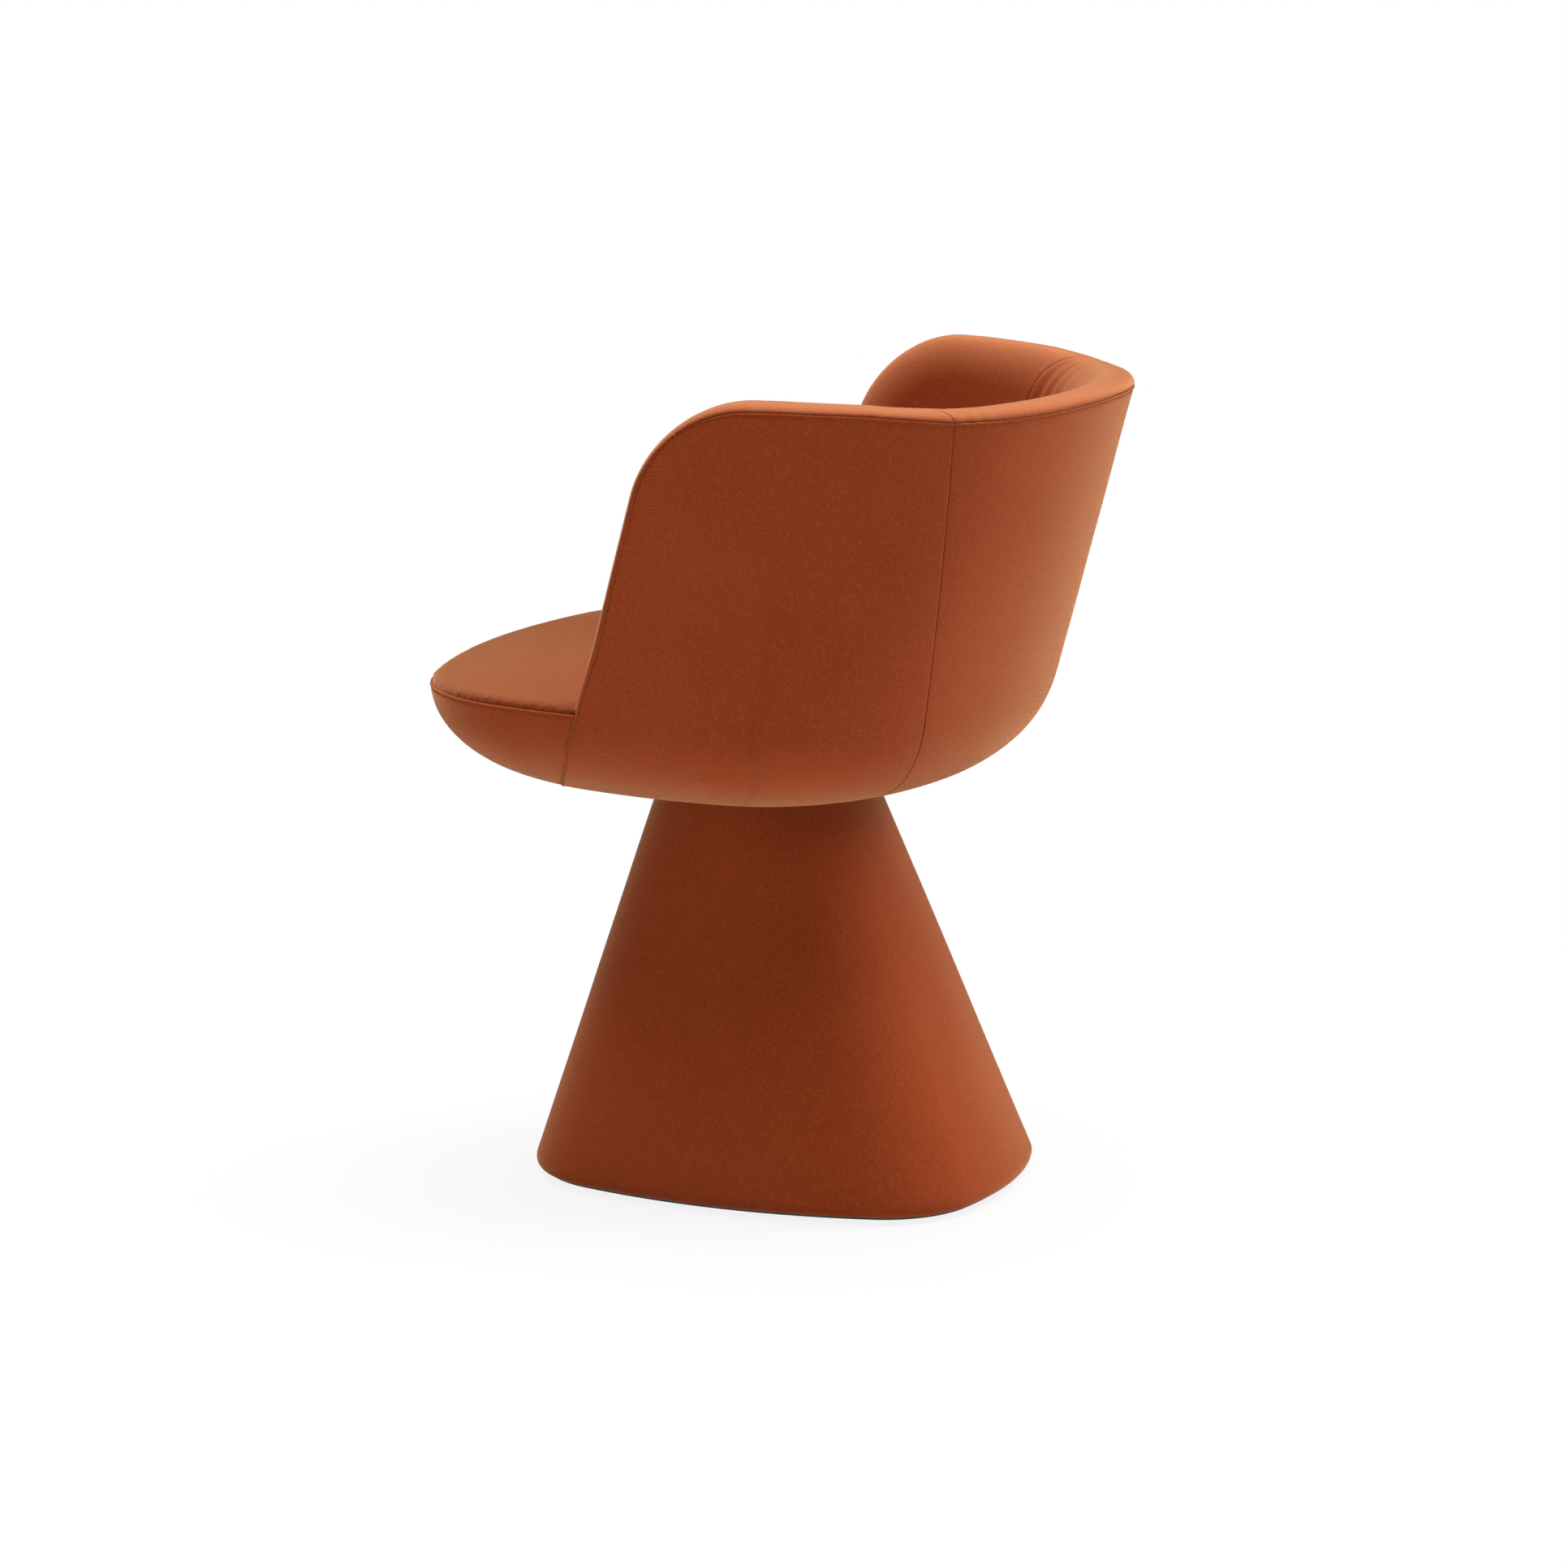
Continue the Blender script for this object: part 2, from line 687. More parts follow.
def frontSeamLine():
    # from under the bowl, up the front seam, to the middle of the arm's corner
    line = [(borderTheta(v), v) for v in np.linspace(tub["turnUnder"], 0.0, 50)]
    for q in np.linspace(0.02, 1.5, 60):
        theta, z = edgeTheta(q, frontDrop(q), 0.0)
        line.append((theta, z - tub["seatEdge"]))
    return line


def rimSeamSpot(q):
    theta, z = edgeTheta(q, dropAt(90), 0.0)
    if q > 2.0:
        theta, z = edgeTheta(q, dropAt(theta), 0.0)
    return theta, z - tub["seatEdge"]


def topSeamLine():
    return [rimSeamSpot(q) for q in np.linspace(1.5, 3.0, 90)]


def cornerSeamLine(bottom, top):
    return [(thetaAtCorner(skinPoint, v), v) for v in np.linspace(bottom, top, 70)]


def sidePanelGrid():
    across = packed(sidePanel["width"])
    upward = packed(sidePanel["height"])
    front = evenly(skinPoint, frontSeamLine(), upward)
    top = evenly(skinPoint, topSeamLine(), across)
    rear = evenly(skinPoint, cornerSeamLine(tub["turnUnder"], top[-1][1]), upward)
    bottomLine = [(theta, tub["turnUnder"]) for theta in np.linspace(front[0][0], rear[0][0], 60)]
    bottom = evenly(skinPoint, bottomLine, across)
    return patch(skinPoint, bottom, top, front, rear, across, upward)


def easeCurve(grid, spread=16.0, zone=45.0):
    # evens out the change of curvature at the widest place
    eased = grid.copy()
    length = lineLengths(grid, 0)
    for j in range(grid.shape[1]):
        s = length[:, j]
        kernel = np.exp(-((s[:, None] - s[None, :]) / spread) ** 2 / 2) * np.gradient(s)[None, :]
        smooth = kernel @ grid[:, j] / kernel.sum(axis=1, keepdims=True)
        near = np.exp(-((s - s[np.argmax(grid[:, j, 0])]) / zone) ** 2)
        near *= np.clip(np.minimum(s, s[-1] - s) / (3 * spread), 0, 1)
        eased[:, j] += near[:, None] * (smooth - grid[:, j])
    return eased


sideGrid = easeCurve(sidePanelGrid())
sideOut = facing(sideGrid, (1, 0, 0))
sideEdges = {"uMin": "stitched", "vMax": "stitched", "uMax": "plain"}
sideSkin = coverSkin(sideGrid, sideOut, sideEdges, sidePanel)
sewPanel("leftSidePanel", sideSkin, sideOut, sideGrid, "left_side_panel", "shell_foam")
sewPanel("rightSidePanel", mirrored(sideSkin), -sideOut, sideGrid, "right_side_panel")

# Outer back panel
backPanel = {"width": 420.0, "height": 440.0, "unevenness": 0.4, "wave": 130.0, "seed": 5}


def backPanelGrid():
    across = packed(backPanel["width"])
    upward = packed(backPanel["height"])
    topTheta = rimSeamSpot(3.0)[0]
    topLine = []
    for theta in np.linspace(topTheta, -topTheta, 120):
        topLine.append((theta, crestAt(theta) - dropAt(theta) - tub["seatEdge"]))
    top = evenly(skinPoint, topLine, across)
    left = evenly(skinPoint, cornerSeamLine(tub["turnUnder"], top[0][1]), upward)
    right = left * np.array([-1.0, 1.0])
    bottomLine = [(theta, tub["turnUnder"]) for theta in np.linspace(left[0][0], -left[0][0], 60)]
    bottom = evenly(skinPoint, bottomLine, across)
    return patch(skinPoint, bottom, top, left, right, across, upward)


backGrid = backPanelGrid()
backOut = facing(backGrid, (0, 1, 0))
backEdges = {"vMax": "stitched", "uMin": "plain", "uMax": "plain"}
backSkin = coverSkin(backGrid, backOut, backEdges, backPanel)
sewPanel("backPanel", backSkin, backOut, backGrid, "back_panel")

# Front border under the seat's edge
frontBorder = {"width": 760.0, "height": 190.0, "unevenness": 0.35, "wave": 110.0, "seed": 7}


def frontBorderGrid():
    across = packed(frontBorder["width"])
    upward = packed(frontBorder["height"])
    grid = np.zeros((len(across), len(upward), 3))
    for j, b in enumerate(upward):
        v = tub["turnUnder"] * (1 - b)
        first = borderTheta(v)
        line = [(theta, v) for theta in np.linspace(first, 360.0 - first, 160)]
        for i, (theta, level) in enumerate(evenly(skinPoint, line, across)):
            grid[i, j] = skinPoint(theta, level)
    return grid


borderGrid = frontBorderGrid()
borderOut = facing(borderGrid, (0, -1, 0))
borderSkin = coverSkin(borderGrid, borderOut, backEdges, frontBorder)
sewPanel("frontBorder", borderSkin, borderOut, borderGrid, "front_border", "bowl_foam")

# Inner side panels: the roll round the arm front and rim, and the lining down to the seat
innerPanel = {
    "frontSteps": 60,
    "topSteps": 84,
    "bottom": 452.0,
    "backCreases": [(13.0, 4.5, 2.1), (27.0, 6.0, 1.8), (42.0, 8.0, 1.0)],   # mm from the seam, width, depth
    "sideCreases": [(12.0, 5.0, 0.6)],
    "creaseFoot": (570.0, 90.0),     # height where the creases die out, and over what length
    "creaseTop": (714.0, 24.0),
    "creaseJoin": 30.0,              # the same, below the join of lining and roll
}


def rollColumn(q):
    # one cross-section of the roll
    drop = dropAt(edgeTheta(q, roll["usualDrop"], 0.0)[0]) if q > 2.0 else frontDrop(q)
    column = []
    for e, n, inward in rollSection(drop, innerThickness(q)):
        theta, height = edgeTheta(q, e, n, inward)
        column.append(wallPoint(theta, height, n))
    return column


def innerThickness(q):
    return wallThickness(edgeTheta(q, roll["innerDrop"], tub["wallAtRim"])[1])


def innerSpot(q):
    thickness = innerThickness(q)
    return edgeTheta(q, roll["innerDrop"], thickness, thickness + roll["innerDrop"])


def puckers(points, seamLine, creases):
    # creases that run down beside the rear corner seam and die out below the rim
    shift = np.zeros(points.shape[:2])
    (foot, footLength), (top, topLength) = innerPanel["creaseFoot"], innerPanel["creaseTop"]
    for j in range(points.shape[1]):
        along = np.linalg.norm(points[:, j] - seamLine[j], axis=1)
        height = points[:, j, 2]
        fade = np.clip((height - foot) / footLength, 0, 1) * np.clip((top - height) / topLength, 0, 1)
        for place, width, depth in creases:
            shift[:, j] += depth * fade * np.exp(-((along - place) / width) ** 2)
    return shift


def innerCorner(z):
    # the corner seam on the inner face, at height z
    return thetaAtCorner(innerPoint, z, wallThickness(z) + crestAt(45.0) - z), z


def innerSideGrids():
    frontQ = np.linspace(0.0, 1.5, innerPanel["frontSteps"] + 1)
    # closer together towards the corner seam
    topQ = 1.5 + 1.5 * (1 - (1 - np.linspace(0, 1, innerPanel["topSteps"] + 1)) ** 1.35)
    strip = np.array([rollColumn(q) for q in list(frontQ) + list(topQ[1:])])
    front = np.array([innerSpot(q) for q in frontQ])
    top = np.array([innerSpot(q) for q in topQ])
    front[0][1] = armEdge["foot"]
    rear = np.array([innerCorner(z) for z in np.linspace(innerPanel["bottom"], top[-1][1], len(front))])
    rear[-1] = top[-1]
    upward = np.linspace(0, 1, len(front))
    across = np.linspace(0, 1, len(top))
    bottomLine = [(theta, innerPanel["bottom"]) for theta in np.linspace(front[0][0], rear[0][0], 40)]
    bottom = evenly(innerPoint, bottomLine, across)
    bottom[0] = front[0]
    lining = patch(innerPoint, bottom, top, front, rear, across, upward)
    return strip, lining


stripGrid, liningGrid = innerSideGrids()
stripOut = 1.0 if gridNormals(stripGrid)[-20, roll["outerSteps"], 2] > 0 else -1.0
liningOut = facing(liningGrid, (-1, 0, 0))
stripSkin = tuckEdges(stripGrid, stripOut, {"vMin": "rolled", "uMax": "plain"})
liningSkin = tuckEdges(liningGrid, liningOut, {"uMax": "plain"})
sidePuckers = puckers(liningGrid, liningGrid[-1], innerPanel["sideCreases"])
sidePuckers *= np.clip(edgeDistances(liningGrid)["vMax"] / innerPanel["creaseJoin"], 0, 1)
liningSkin = liningSkin - gridNormals(liningGrid) * liningOut * sidePuckers[..., None]


def innerSideObject(name, flip):
    strip = mirrored(stripSkin) if flip else stripSkin
    lining = mirrored(liningSkin) if flip else liningSkin
    turn = -1.0 if flip else 1.0
    count = strip.shape[0] * strip.shape[1]
    points = np.concatenate([strip.reshape(-1, 3), lining.reshape(-1, 3)])
    faces = gridFaces(*strip.shape[:2], 0, stripOut * turn < 0)
    faces += gridFaces(*lining.shape[:2], count, liningOut * turn < 0)
    uv = np.concatenate([gridWeave(stripGrid).reshape(-1, 2), gridWeave(liningGrid).reshape(-1, 2)])
    bend = np.concatenate([np.tile(rollBend, len(strip)), np.zeros(lining.shape[0] * lining.shape[1])])
    piece = weld(newObject(name, points, faces, uv, bend), 0.0002)
    return shadeSmooth(thicken(piece, 2.2))


for name, node in (("innerLeftPanel", "inner_left_panel"), ("innerRightPanel", "inner_right_panel")):
    piece = dress(innerSideObject(name, "Right" in name), fabric, "seat", "fabric_cover", node)
    print(name + ":", len(piece.data.vertices), "points")

# Inner back panel, over the rim from corner seam to corner seam
innerBack = {"width": 330.0, "downward": 80}


def innerBackGrid():
    grid = []
    edge = rimSeamSpot(3.0)[0]
    for share in packed(innerBack["width"], 0.5, 3.2, 1.3):
        turn = 1 - 2 * share
        drop = dropAt(edge * turn)
        column = []
        for e, n, inward in rollSection(drop, innerThickness(3.0)):
            limit = thetaAtCorner(lambda theta, level: wallPoint(theta, level, n), crestAt(45.0) - e, inward)
            column.append(wallPoint(limit * turn, crestAt(limit * turn) - e, n))
        top = column[-1][2]
        for z in np.linspace(top, innerPanel["bottom"], innerBack["downward"])[1:]:
            column.append(innerPoint(innerCorner(z)[0] * turn, z))
        grid.append(column)
    return np.array(grid)


innerBackPoints = innerBackGrid()
innerBackOut = facing(innerBackPoints, (0, -1, 0))
innerBackEdges = {"vMin": "rolled", "uMin": "plain", "uMax": "plain"}
innerBackSkin = tuckEdges(innerBackPoints, innerBackOut, innerBackEdges)
bothPuckers = sum(puckers(innerBackPoints, innerBackPoints[k], innerPanel["backCreases"]) for k in (0, -1))
innerBackSkin = innerBackSkin - gridNormals(innerBackPoints) * innerBackOut * bothPuckers[..., None]
backBend = np.zeros(innerBackPoints.shape[:2])
backBend[:, :len(rollBend)] = rollBend
sewPanel("innerBackPanel", innerBackSkin, innerBackOut, innerBackPoints, "inner_back_panel", bend=backBend)

# Seat cushion, crowned and held by its edge seam
cushion = {
    "centre": (0.0, -230.0),
    "seam": 450.8,           # height of the edge seam
    "edgeInset": 0.6,
    "edgeHeight": 8.0,       # the edge stands up this far before the top slopes in
    "edgeRound": 5.0,
    "dome": 11.0,
    "gap": 1.0,              # to the padded wall
    "bottom": 437.0,
    "bottomInset": 6.0,
    "crevice": 8.0,          # how far it goes down beside the wall, and over what width
    "creviceWidth": 9.0,
    "rings": 60,
    "voxel": 0.004,
    "sewnWidth": 0.014,
    "pressure": 4.0,
    "stiffness": 12.0,
    "bending": 2.0,
    "mass": 0.3,
    "swell": 0.003,
    "frames": 20,
}


def cushionOutline():
    # half of the outline, from the front round the arm's foot to the middle of the back
    line = []
    foot = np.array(rollColumn(0.0))[:, :2]
    footTheta = thetaAtY(skinPoint, 0.0, foot[0][1] - 0.5)
    for theta in np.linspace(180.0, footTheta, 110):
        line.append((*outlinePoint(seatOutline, theta, cushion["edgeInset"]), 1.0))
    for index in range(roll["outerSteps"], len(foot)):
        before, after = foot[max(index - 1, 0)], foot[min(index + 1, len(foot) - 1)]
        along = (after - before) / np.linalg.norm(after - before)
        away = np.array([along[1], -along[0]])
        if away[1] > 0.2 or away[0] > 0.2:
            away = -away
        free = max(0.0, 1.0 - index / (1.6 * roll["outerSteps"]))
        line.append((*(foot[index] + away * cushion["gap"]), free))
    innerTheta = thetaAtY(innerPoint, tub["seatEdge"], foot[-1][1] + 6.0)
    inset = wallThickness(tub["seatEdge"]) + cushion["gap"]
    for theta in np.linspace(innerTheta, 0.0, 110):
        line.append((*wallPoint(theta, tub["seatEdge"], inset)[:2], 0.0))
    return line


def domeHeight(x, y):
    # measured out from the bowl's middle to the seat's outline
    dx, dy = x, y - tub["centreY"]
    distance = math.hypot(dx, dy)
    if distance < 1e-6:
        return cushion["edgeHeight"] + cushion["dome"]
    reach = np.interp(math.degrees(math.atan2(dx, dy)) % 360.0, domeReach[0], domeReach[1])
    share = min(distance / reach, 1.0)
    inside = max(1 - (reach - distance) / cushion["edgeRound"], 0.0)
    edge = cushion["edgeHeight"] * max(1 - min(inside, 1.0) ** 2.5, 0.0) ** 0.4
    return edge + cushion["dome"] * (1 - share ** 1.6) ** 0.8


def seatReach():
    spots = [outlinePoint(seatOutline, theta) for theta in np.linspace(0, 359.5, 720)]
    turns = [math.degrees(math.atan2(x, y - tub["centreY"])) % 360.0 for x, y in spots]
    order = np.argsort(turns)
    lengths = [math.hypot(x, y - tub["centreY"]) for x, y in spots]
    turns, lengths = np.array(turns)[order], np.array(lengths)[order]
    return np.concatenate([turns - 360, turns, turns + 360]), np.tile(lengths, 3)


domeReach = seatReach()


def cushionBlank():
    half = cushionOutline()
    outline = half + [(-x, y, free) for x, y, free in half[-2:0:-1]]
    centre = np.array(cushion["centre"])
    edge = np.array([spot[:2] for spot in outline])
    free = np.array([spot[2] for spot in outline])
    shares = 1 - np.linspace(0, 1, cushion["rings"] + 1)[:-1] ** 1.7
    count = len(outline)
    pairs = [(k, (k + 1) % count) for k in range(count)]
    points, faces = [], []
    for share in shares:
        ring = centre + (edge - centre) * share
        for k, (x, y) in enumerate(ring):
            inward = np.linalg.norm(edge[k] - ring[k])
            tuck = (1 - free[k]) * cushion["crevice"] * math.exp(-inward / cushion["creviceWidth"])
            points.append((x, y, cushion["seam"] + domeHeight(x, y) - tuck))
    last = (len(shares) - 1) * count
    for r in range(0, last, count):
        faces += [(r + k, r + after, r + count + after, r + count + k) for k, after in pairs]
    points.append((*centre, cushion["seam"] + domeHeight(*centre)))
    faces += [(last + k, last + after, len(points) - 1) for k, after in pairs]
    base = len(points)
    for spot in edge:
        inset = spot + (centre - spot) * cushion["bottomInset"] / np.linalg.norm(centre - spot)
        points.append((*inset, cushion["bottom"]))
    faces += [(k, base + k, base + after, after) for k, after in pairs]
    points.append((*centre, cushion["bottom"]))
    faces += [(base + k, len(points) - 1, base + after) for k, after in pairs]
    return weld(newObject("seatCushion", points, faces)), edge


cushionPiece, cushionEdge = cushionBlank()


def inflate(piece):
    remesh = piece.modifiers.new("even", "REMESH")
    remesh.mode = "VOXEL"
    remesh.voxel_size = cushion["voxel"]
    applyModifiers(piece)
    rest = np.array([v.co for v in piece.data.vertices])
    held = piece.vertex_groups.new(name="sewn")
    edge = cushionEdge / 1000.0
    sewnTop = (cushion["seam"] + 2.0) / 1000.0
    for index, (x, y, z) in enumerate(rest):
        near = np.min(np.hypot(edge[:, 0] - x, edge[:, 1] - y))
        weight = 1.0 if z < sewnTop else max(0.0, 1.0 - near / cushion["sewnWidth"])
        held.add([index], weight, "REPLACE")
    cloth = piece.modifiers.new("padding", "CLOTH")
    settings = cloth.settings
    settings.quality = 6
    settings.mass = cushion["mass"]
    settings.tension_stiffness = cushion["stiffness"]
    settings.compression_stiffness = cushion["stiffness"]
    settings.bending_stiffness = cushion["bending"]
    settings.use_pressure = True
    settings.uniform_pressure_force = cushion["pressure"]
    settings.effector_weights.gravity = 0.0
    settings.vertex_group_mass = "sewn"
    cloth.collision_settings.use_collision = False
    cloth.point_cache.frame_start = 1
    cloth.point_cache.frame_end = cushion["frames"]
    for step in range(1, cushion["frames"] + 1):
        scene.frame_set(step)
    applyModifiers(piece)
    moved = np.array([v.co for v in piece.data.vertices]) - rest
    length = np.linalg.norm(moved, axis=1, keepdims=True)
    moved *= np.minimum(1.0, cushion["swell"] / np.maximum(length, 1e-9))
    piece.data.vertices.foreach_set("co", (rest + moved).ravel())
    scene.frame_set(1)


def relax(piece, factor, rounds):
    mesh = bmesh.new()
    mesh.from_mesh(piece.data)
    allAxes = {"use_axis_x": True, "use_axis_y": True, "use_axis_z": True}
    for _ in range(rounds):
        bmesh.ops.smooth_vert(mesh, verts=mesh.verts, factor=factor, **allAxes)
    mesh.to_mesh(piece.data)
    mesh.free()


inflate(cushionPiece)
relax(cushionPiece, 0.5, 2)
finer = cushionPiece.modifiers.new("finer", "SUBSURF")
finer.levels = finer.render_levels = 1
applyModifiers(cushionPiece)
setWeave(cushionPiece.data, np.array([v.co for v in cushionPiece.data.vertices])[:, :2] * 1000.0)
shadeSmooth(cushionPiece)
dress(cushionPiece, seatFabric, "seat", "fabric_cover", "seat_top_cover", "seat_foam")
print("seat cushion:", len(cushionPiece.data.vertices), "points")

# Lining that closes the bowl underneath
underside = {"hub": 31.0, "height": 362.6, "rings": 14, "around": 160, "sag": 0.3, "rimLift": 2.4}


def undersideRings():
    rings = []
    for share in np.linspace(1.0, 0.0, underside["rings"] + 1):
        lift = underside["rimLift"] if share > 0.98 else 0.0
        ring = []
        for theta in np.linspace(0, 360, underside["around"], endpoint=False):
            outer = np.array(skinPoint(theta, tub["turnUnder"] + 0.5)[:2])
            hub = hubPoint(*outer, underside["hub"])
            sag = underside["sag"] * math.sin(math.pi * share) * math.sin(6 * math.radians(theta))
            ring.append((*(hub + (outer - hub) * share), underside["height"] + sag + lift))
        rings.append(ring)
    return np.array(rings)


underRings = undersideRings()
underClosed = np.concatenate([underRings, underRings[:, :1]], axis=1)
underOut = facing(underClosed, (0, 0, -1))
underPiece = panelObject("undersideLining", underClosed, underOut, underClosed[..., :2], 1.2)
weld(underPiece)
shadeSmooth(underPiece)
dress(underPiece, finishes["lining"], "seat", "lining", "underside_cover")
print("underside lining:", len(underPiece.data.vertices), "points")

# Pedestal cover, sewn into a sleeve and turned under at the hem
pedestal = {
    "height": 356.0,
    "hemBottom": 5.0,
    "hemRoll": 13.0,
    "topRound": 5.0,
    "hub": 33.0,
    "hemSteps": 10,
    "upward": 90,
    "seamAt": -90.0,         # closing seam on the sitter's right
    "unevenness": 0.35,
}


def pedestalPoint(theta, z, inset):
    outline = footOutline + (neckOutline - footOutline) * z / pedestal["height"]
    return (*outlinePoint(outline, theta, inset, tub["frontTurn"]), z)


def pedestalProfile():
    # (height, inset) from the turned hem to the rounded top
    hem, bend = pedestal["hemRoll"], pedestal["topRound"]
    low, high = pedestal["hemBottom"] + hem, pedestal["height"] - bend
    profile = []
    for angle in np.linspace(0, math.pi / 2, pedestal["hemSteps"]):
        profile.append((low - hem * math.cos(angle), hem * (1 - math.sin(angle))))
    profile += [(z, 0.0) for z in np.linspace(low, high, pedestal["upward"])[1:]]
    for angle in np.linspace(0, math.pi / 2, 6)[1:]:
        profile.append((high + bend * math.sin(angle), bend * (1 - math.cos(angle))))
    return profile


def pedestalGrid():
    profile = pedestalProfile()
    grid = []
    for share in packed(1000.0, 0.5, 4.0, 1.3):
        theta = pedestal["seamAt"] + 360.0 * share
        column = [pedestalPoint(theta, z, inset) for z, inset in profile]
        rim, top = np.array(column[-1][:2]), column[-1][2]
        hub = hubPoint(*rim, pedestal["hub"])
        for inward in np.linspace(0, 1, 8)[1:]:
            column.append((*(rim + (hub - rim) * inward), top))
        grid.append(column)
    return np.array(grid)


def coneWeave(points):
    # the flat pattern of a tapering sleeve
    across, up = lineLengths(points, 0), lineLengths(points, 1)
    middle, low = len(points) // 2, pedestal["hemSteps"]
    high = low + pedestal["upward"] - 2
    around = across[-1]
    radius = around * (up[middle, high] - up[middle, low]) / (around[low] - around[high])
    angle = (across - across[middle]) / radius
    return np.stack([radius * np.sin(angle), -radius * np.cos(angle)], axis=2)


sleeveGrid = pedestalGrid()
sleeveOut = facing(sleeveGrid, (1, 0, 0))
sleeveSkin = tuckEdges(sleeveGrid, sleeveOut, {"uMin": "plain", "uMax": "plain"})
ease = naturalFall(sleeveGrid, pedestal["unevenness"], 140.0, 11)
ease[:1] = ease[-1:]
ease *= np.clip((sleeveGrid[..., 2] - 6.0) / 30.0, 0, 1)   # none at the hem
sleeveSkin = sleeveSkin + gridNormals(sleeveGrid) * sleeveOut * ease[..., None]
sleevePiece = panelObject("pedestalCover", sleeveSkin, sleeveOut, coneWeave(sleeveGrid), 1.8)
dress(sleevePiece, fabric, "pedestal", "fabric_cover", "pedestal_cover", "pedestal_wadding")
print("pedestal cover:", len(sleevePiece.data.vertices), "points")

# Topstitching beside the seams
stitch = {
    "pitch": 3.7,
    "length": 2.5,
    "radius": 0.34,
    "endShare": 0.55,        # the ends are thinner
    "lift": 0.12,
    "dip": 0.9,              # how far the ends go down
    "steps": 7,
    "sides": 6,
    "hole": 0.5,
}


def sampled(where, length, path):
    return np.stack([np.interp(where, length, path[:, k]) for k in range(3)], axis=-1)


def unit(vectors):
    return vectors / np.linalg.norm(vectors, axis=-1, keepdims=True)


def ringRound(middle, first, second):
    turns = 2 * np.pi * np.arange(stitch["sides"]) / stitch["sides"]
    return [middle + first * math.cos(turn) + second * math.sin(turn) for turn in turns]


def stitchRow(name, path, normals):
    length = runLength(path)
    steps, sides = stitch["steps"], stitch["sides"]
    shares = np.linspace(0, 1, steps)
    dip = stitch["dip"] * np.abs(2 * shares - 1) ** 4
    points, faces, holes = [], [], []
    for start in np.arange(2.0, length[-1] - stitch["length"], stitch["pitch"]):
        where = start + stitch["length"] * shares
        up = unit(sampled(where, length, normals))
        line = sampled(where, length, path) + up * (stitch["lift"] - dip)[:, None]
        along = np.gradient(line, axis=0)
        side = unit(np.cross(along, up))
        over = unit(np.cross(side, along))
        base = len(points)
        for k in range(steps):
            radius = stitch["radius"] * (stitch["endShare"] if k in (0, steps - 1) else 1.0)
            points += ringRound(line[k], side[k] * radius, over[k] * radius)
        for a in range(base, base + (steps - 1) * sides, sides):
            for s in range(sides):
                after = (s + 1) % sides
                faces.append((a + s, a + after, a + sides + after, a + sides + s))
        faces.append(tuple(range(base, base + sides))[::-1])
        faces.append(tuple(range(base + (steps - 1) * sides, base + steps * sides)))
        # the needle hole that the thread goes down into
        middle = sampled(start + (stitch["length"] + stitch["pitch"]) / 2, length, path)
        rise, ahead = up[-1], unit(along[-1]) * stitch["hole"]
        base = len(points)
        points += [middle + rise * 0.22, middle - rise * 0.4]
        points += ringRound(middle + rise * 0.05, ahead, side[-1] * stitch["hole"] * 0.8)
        for s in range(sides):
            one, two = base + 2 + s, base + 2 + (s + 1) % sides
            holes += [len(faces), len(faces) + 1]
            faces += [(base, one, two), (base + 1, two, one)]
    piece = newObject(name, points, faces)
    piece.data.materials.append(sewingThread)
    piece.data.materials.append(needleHole)
    for index in holes:
        piece.data.polygons[index].material_index = 1
    return shadeSmooth(piece)


def besideEdge(points, outward, side):
    # the stitch line on a panel, beside one of its edges
    away = edgeDistances(points)[side]
    normals = gridNormals(points) * outward
    if side[0] == "u":
        away, points, normals = away.T, points.swapaxes(0, 1), normals.swapaxes(0, 1)
    path, ups = [], []
    for reach, spots, up in zip(away, points, normals):
        order = np.argsort(reach)
        path.append(sampled(topstitch["line"], reach[order], spots[order]))
        ups.append(sampled(topstitch["line"], reach[order], up[order]))
    return np.array(path), np.array(ups)


frontLine, frontUp = besideEdge(sideSkin, sideOut, "uMin")
topLine, topUp = besideEdge(sideSkin, sideOut, "vMax")
sideLine = np.concatenate([frontLine[:-3], topLine[3:]])
sideUp = np.concatenate([frontUp[:-3], topUp[3:]])
mirror = np.array([-1.0, 1.0, 1.0])
backLine, backUp = besideEdge(backSkin, backOut, "vMax")
seatLine, seatUp = besideEdge(borderSkin, borderOut, "vMax")
rows = {
    "leftPanelStitches": (sideLine, sideUp),
    "rightPanelStitches": (sideLine * mirror, sideUp * mirror),
    "backRimStitches": (backLine, backUp),
    "seatEdgeStitches": (seatLine, seatUp),
}
for name, (line, up) in rows.items():
    row = stitchRow(name, line, up)
    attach(row, "seat")
print("stitch rows:", len(rows))

# Floor, light and camera
stageLook = {
    "floor": (0.82, 0.82, 0.82, 1.0),
    "floorSize": 30.0,
    "glow": 0.86,            # how white the floor looks by the chair, and pure white farther out
    "fade": (0.35, 1.2),
    "worldLight": 0.03,
}
white = (1.0, 1.0, 1.0, 1.0)


def raysSeen(tree):
    path = tree.nodes.new("ShaderNodeLightPath")
    bent = mathNode(tree, "MAXIMUM", path.outputs["Is Glossy Ray"], path.outputs["Is Transmission Ray"])
    return mathNode(tree, "MAXIMUM", path.outputs["Is Camera Ray"], bent)


def mixShaders(tree, out, *sockets):
    mix = tree.nodes.new("ShaderNodeMixShader")
    for socket, value in zip(mix.inputs, sockets):
        tree.links.new(value, socket)
    tree.links.new(mix.outputs[0], out.inputs["Surface"])


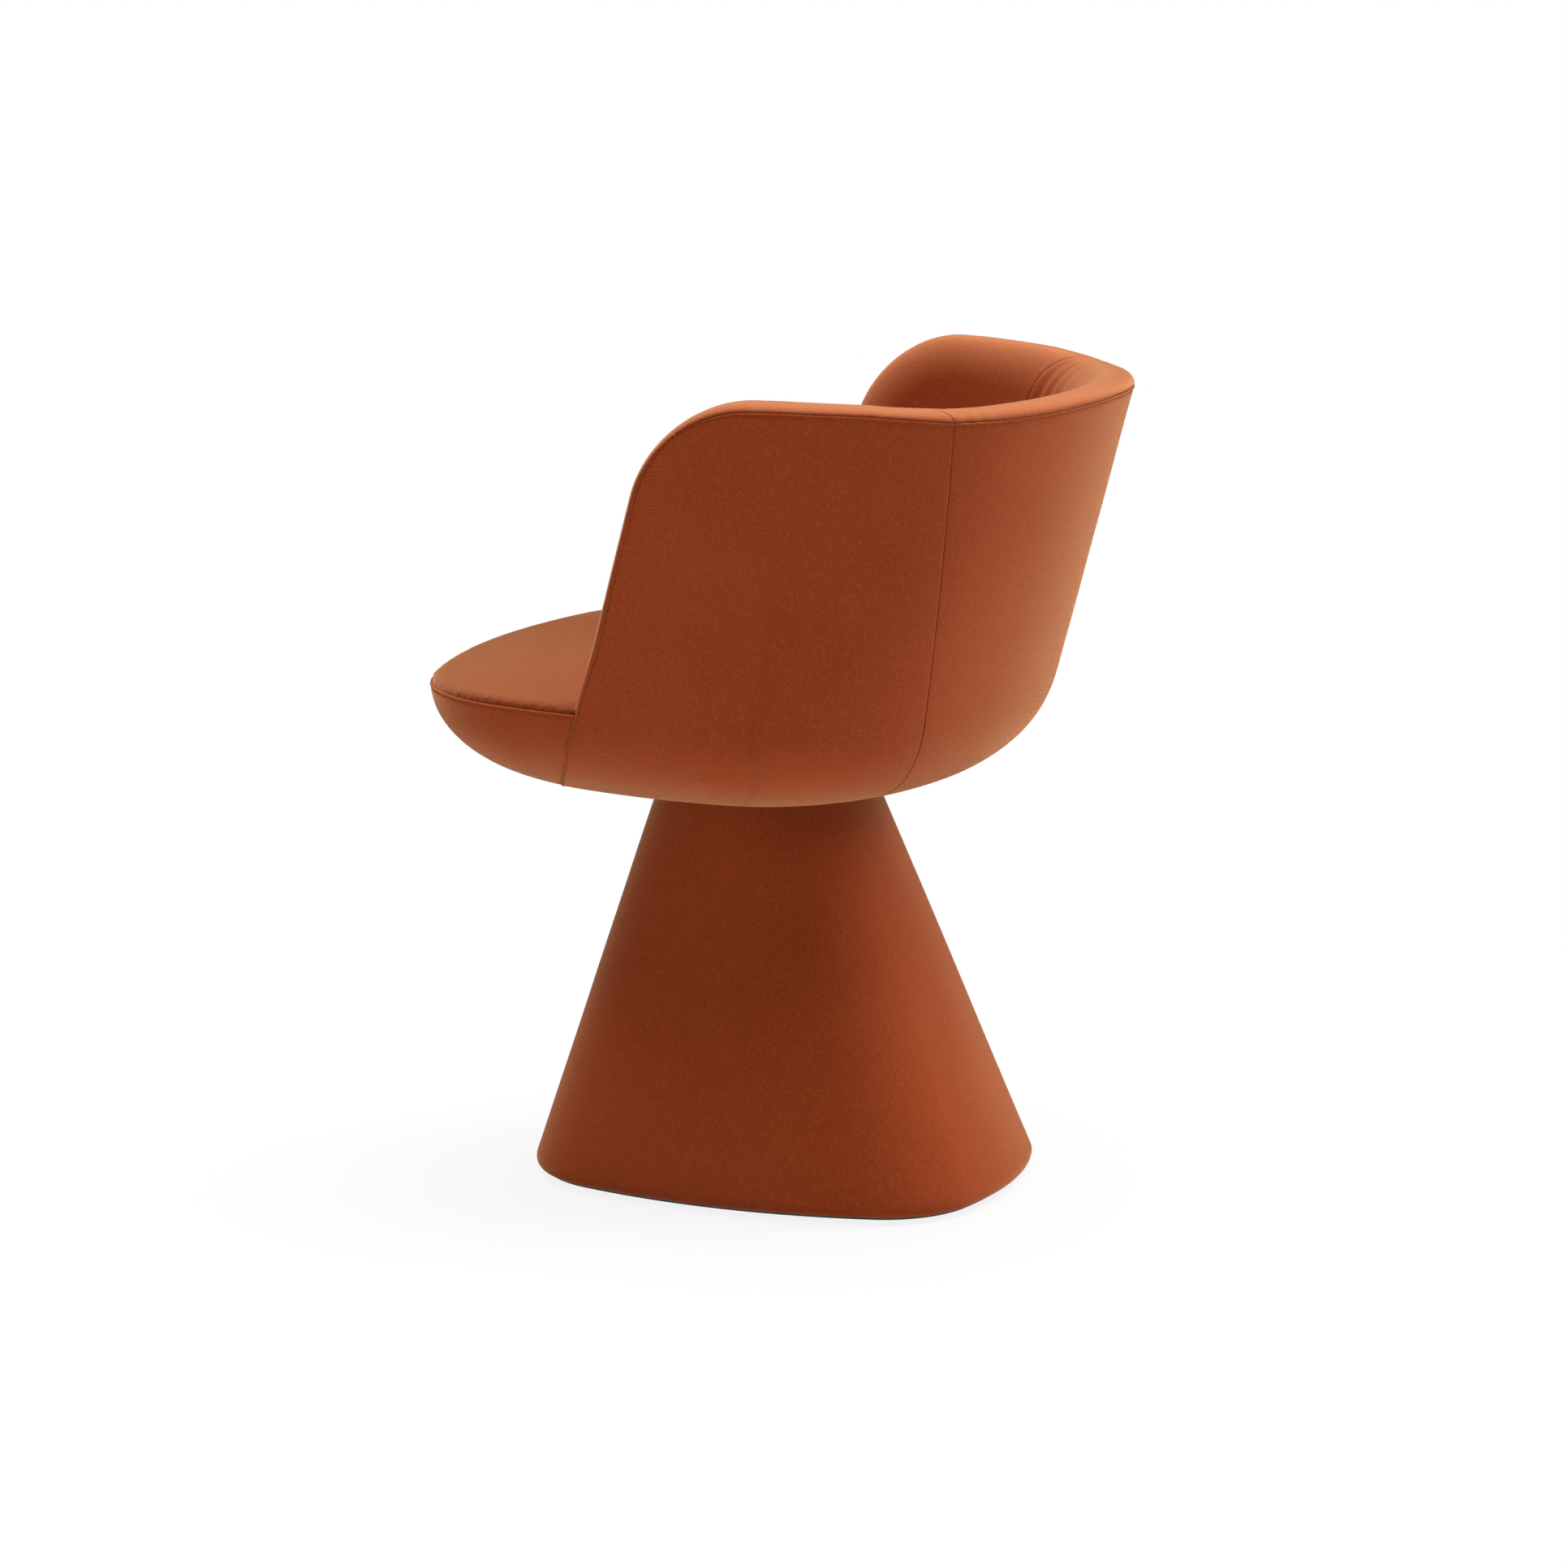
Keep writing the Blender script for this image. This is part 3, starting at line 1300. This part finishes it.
def makeFloor():
    size = stageLook["floorSize"]
    mesh = bpy.data.meshes.new("floor")
    corners = [(-size, -size, 0), (size, -size, 0), (size, size, 0), (-size, size, 0)]
    mesh.from_pydata(corners, [], [(0, 1, 2, 3)])
    floor = bpy.data.objects.new("floor", mesh)
    scene.collection.objects.link(floor)
    material, tree, shader = nodeTree("paleFloor")
    shader.inputs["Base Color"].default_value = stageLook["floor"]
    shader.inputs["Roughness"].default_value = 0.9
    glow = addNode(tree, "ShaderNodeEmission", Color=white, Strength=1.0)
    distance = addNode(tree, "ShaderNodeVectorMath", operation="LENGTH")
    tree.links.new(objectPlace(tree), distance.inputs[0])
    fade = rampNode(tree, distance.outputs["Value"], *stageLook["fade"])
    pale = mathNode(tree, "ADD", times(tree, fade, 1.0 - stageLook["glow"]), stageLook["glow"])
    share = times(tree, raysSeen(tree), pale)
    mixShaders(tree, tree.nodes["Material Output"], share, shader.outputs[0], glow.outputs[0])
    mesh.materials.append(material)


def makeWorld():
    world = bpy.data.worlds.new("studio")
    scene.world = world
    world.use_nodes = True
    tree = world.node_tree
    tree.nodes.clear()
    soft = addNode(tree, "ShaderNodeBackground", Color=(1.0, 0.98, 0.96, 1.0), Strength=stageLook["worldLight"])
    seen = addNode(tree, "ShaderNodeBackground", Color=white, Strength=1.0)
    out = tree.nodes.new("ShaderNodeOutputWorld")
    mixShaders(tree, out, raysSeen(tree), soft.outputs[0], seen.outputs[0])


def aimed(name, data, place, target):
    thing = bpy.data.objects.new(name, data)
    thing.location = place
    thing.rotation_euler = (Vector(target) - Vector(place)).to_track_quat("-Z", "Y").to_euler()
    scene.collection.objects.link(thing)
    return thing


# place, side of the square, watts; all point at the seat
lamps = {
    "keyLight": ((-1.7, 2.6, 2.4), 1.8, 88.0),
    "topLight": ((-0.1, -0.1, 3.0), 3.6, 168.0),
    "sideFill": ((3.4, -1.6, 1.4), 2.0, 9.0),
}
lampTarget = (0.0, 0.0, 0.45)


def makeLamp(name, place, side, watts):
    light = bpy.data.lights.new(name, "AREA")
    light.shape = "RECTANGLE"
    light.size = light.size_y = side
    light.energy = watts
    aimed(name, light, place, lampTarget)


view = {"place": (4.019, 1.584, 1.2372), "target": (0.0005, -0.0093, 0.3475), "lens": 115.46}


def makeCamera():
    data = bpy.data.cameras.new("photoCamera")
    data.sensor_width = 36.0
    data.lens = view["lens"]
    data.clip_end = 100.0
    scene.camera = aimed("photoCamera", data, view["place"], view["target"])


makeFloor()
makeWorld()
for lampName, look in lamps.items():
    makeLamp(lampName, *look)
makeCamera()
print("stage: floor,", len(lamps), "lamps, camera")
